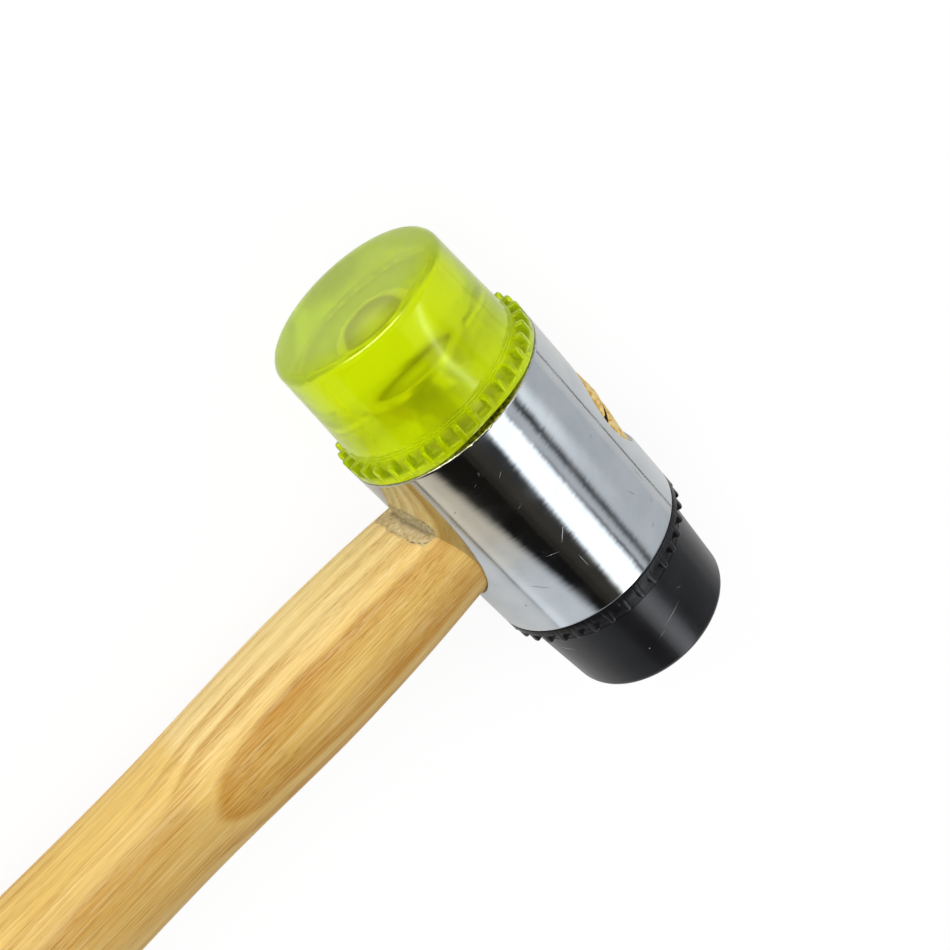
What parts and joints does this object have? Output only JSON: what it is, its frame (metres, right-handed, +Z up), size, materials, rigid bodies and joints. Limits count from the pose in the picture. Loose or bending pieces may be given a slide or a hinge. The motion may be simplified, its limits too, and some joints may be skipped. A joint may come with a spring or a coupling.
{
  "type": "soft-face hammer",
  "caption": "Soft-face hammer with a chromed steel barrel, a screw-on plastic face, a screw-on rubber face and a wooden handle wedged through the eye.",
  "frame": {"origin": "on the plane that the hammer lies on, under the middle of its bounding box", "axes": "+X along the head's axis towards the black rubber face, +Y along the hammer from the butt towards the head, +Z up from the plane it lies on"},
  "size_m": [0.0912, 0.2828, 0.04],
  "materials": {
    "chromed_steel": "turned steel, polished and chrome plated, with fine scratches",
    "translucent_plastic": "moulded translucent yellow-green plastic, glossy",
    "black_rubber": "moulded black rubber, satin",
    "stud_steel": "rolled screw thread, zinc plated",
    "ash_wood": "turned ash-like wood under a thin clear lacquer",
    "wedge_wood": "split hardwood, uncoated"
  },
  "bodies": {
    "head": {"head_barrel": "chromed_steel", "handle": "ash_wood", "handle_wedge": "wedge_wood"},
    "yellow_stud": {"yellow_face_stud": "stud_steel"},
    "yellow_cap": {"yellow_face": "translucent_plastic"},
    "black_stud": {"black_face_stud": "stud_steel"},
    "black_cap": {"black_face": "black_rubber"}
  },
  "joints": [
    {"name": "yellow_face_travel", "type": "slide", "parent": "head", "child": "yellow_stud", "axis": [-1, 0, 0], "range_m": [0, 0.00875]},
    {"name": "yellow_face_turn", "type": "hinge", "parent": "yellow_stud", "child": "yellow_cap", "pos_m": [-0.0337, 0.12072, 0.02], "axis": [-1, 0, 0], "range_deg": [0, 2520]},
    {"name": "black_face_travel", "type": "slide", "parent": "head", "child": "black_stud", "axis": [1, 0, 0], "range_m": [0, 0.00875]},
    {"name": "black_face_turn", "type": "hinge", "parent": "black_stud", "child": "black_cap", "pos_m": [0.0337, 0.12072, 0.02], "axis": [1, 0, 0], "range_deg": [0, 2520]}
  ],
  "couplings": [
    {"joint": "yellow_face_travel", "follows": "yellow_face_turn", "m_per_rad": 0.00019894},
    {"joint": "black_face_travel", "follows": "black_face_turn", "m_per_rad": 0.00019894}
  ]
}
